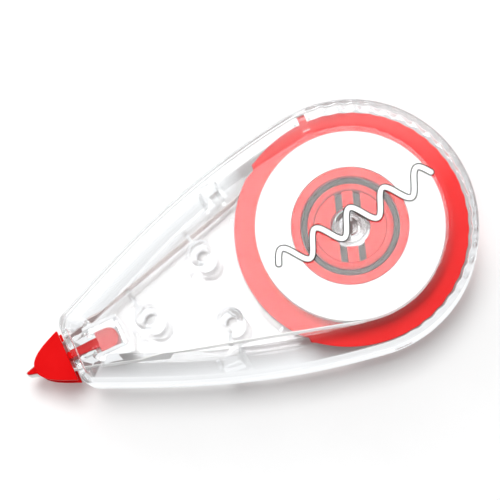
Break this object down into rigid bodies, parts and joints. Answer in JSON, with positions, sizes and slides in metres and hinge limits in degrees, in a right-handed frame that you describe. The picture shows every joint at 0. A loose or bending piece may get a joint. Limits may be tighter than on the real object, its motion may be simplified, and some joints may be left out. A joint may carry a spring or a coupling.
{
  "type": "correction tape roller",
  "caption": "Clear teardrop casing with coaxial supply and take-up reels, a slip clutch and a red wedge applicator tip that lays white correction tape.",
  "frame": {"origin": "on the reel axle, at the outside face of the back shell's flat plate", "axes": "+Z along the reel axle from the back shell to the front shell, -X from the axle to the applicator tip, +Y across the casing"},
  "size_m": [0.0797, 0.0422, 0.015],
  "materials": {
    "clear_plastic": "clear, polished",
    "red_plastic": "moulded, satin gloss",
    "tape": "matt white coating",
    "ribbon": "bare film",
    "rubber": "soft matt",
    "washer": "moulded"
  },
  "bodies": {
    "casing": {"rear_shell": "clear_plastic", "front_shell": "clear_plastic", "feed_strand": "tape", "return_strand": "ribbon", "thrust_washer": "washer"},
    "takeup": {"takeup_reel": "red_plastic", "hub_retainer": "red_plastic", "used_ribbon_roll": "ribbon", "clutch_ring_front": "rubber", "clutch_ring_rear": "rubber", "slip_washer": "washer"},
    "supply": {"supply_core": "red_plastic", "correction_tape_roll": "tape"},
    "tip": {"applicator_tip": "red_plastic", "tip_ribbon": "tape"}
  },
  "joints": [
    {"name": "takeup_spin", "type": "hinge", "parent": "casing", "child": "takeup", "pos_m": [0, 0, 0.0043], "axis": [0, 0, 1], "continuous": true},
    {"name": "supply_spin", "type": "hinge", "parent": "casing", "child": "supply", "pos_m": [0, 0, 0.0108], "axis": [0, 0, 1], "continuous": true},
    {"name": "tip_rock", "type": "hinge", "parent": "casing", "child": "tip", "pos_m": [-0.0485, 0, 0.0075], "axis": [1, 0, 0], "range_deg": [-8, 8]}
  ],
  "couplings": [
    {"joint": "takeup_spin", "follows": "supply_spin", "ratio": 0.9512}
  ]
}
